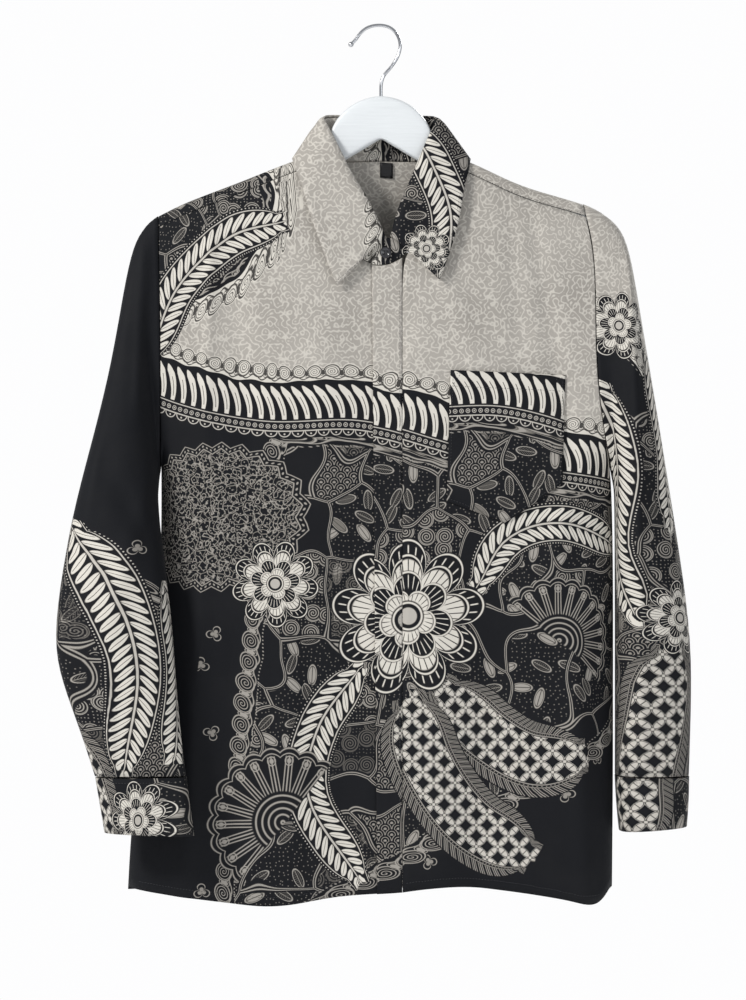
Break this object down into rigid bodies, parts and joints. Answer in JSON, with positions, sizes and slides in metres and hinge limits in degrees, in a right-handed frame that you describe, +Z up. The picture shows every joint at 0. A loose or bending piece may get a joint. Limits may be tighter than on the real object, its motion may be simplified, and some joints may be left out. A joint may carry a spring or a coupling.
{
  "type": "long-sleeved batik shirt on a hanger",
  "caption": "Long-sleeved button-front cotton shirt with a pointed collar and chest pocket, in a wax-resist style print, hanging on a painted wooden clothes hanger with a metal hook.",
  "frame": {"origin": "the underside of the hook wire at the top of its bend, where a rail carries the hanger", "axes": "+Z up, the front of the shirt faces -Y, +X is the wearer's left"},
  "size_m": [0.636, 0.1235, 0.8825],
  "materials": {
    "printed_cotton": "matt plain-weave cotton, black ground with cream and grey resist print",
    "label_tape": "black woven tape, bare",
    "button_resin": "polished black resin",
    "painted_wood": "white satin paint",
    "hook_chrome": "bright plated wire"
  },
  "bodies": {
    "root": {"back": "printed_cotton", "yoke": "printed_cotton", "right_front": "printed_cotton", "left_front": "printed_cotton", "left_placket": "printed_cotton", "chest_pocket": "printed_cotton", "right_sleeve": "printed_cotton", "left_sleeve": "printed_cotton", "right_cuff": "printed_cotton", "left_cuff": "printed_cotton", "collar_stand": "printed_cotton", "collar_leaf": "printed_cotton", "neck_label": "label_tape", "collar_button": "button_resin", "right_cuff_button": "button_resin", "left_cuff_button": "button_resin", "hanger_board": "painted_wood", "hanger_hook": "hook_chrome"}
  },
  "joints": []
}
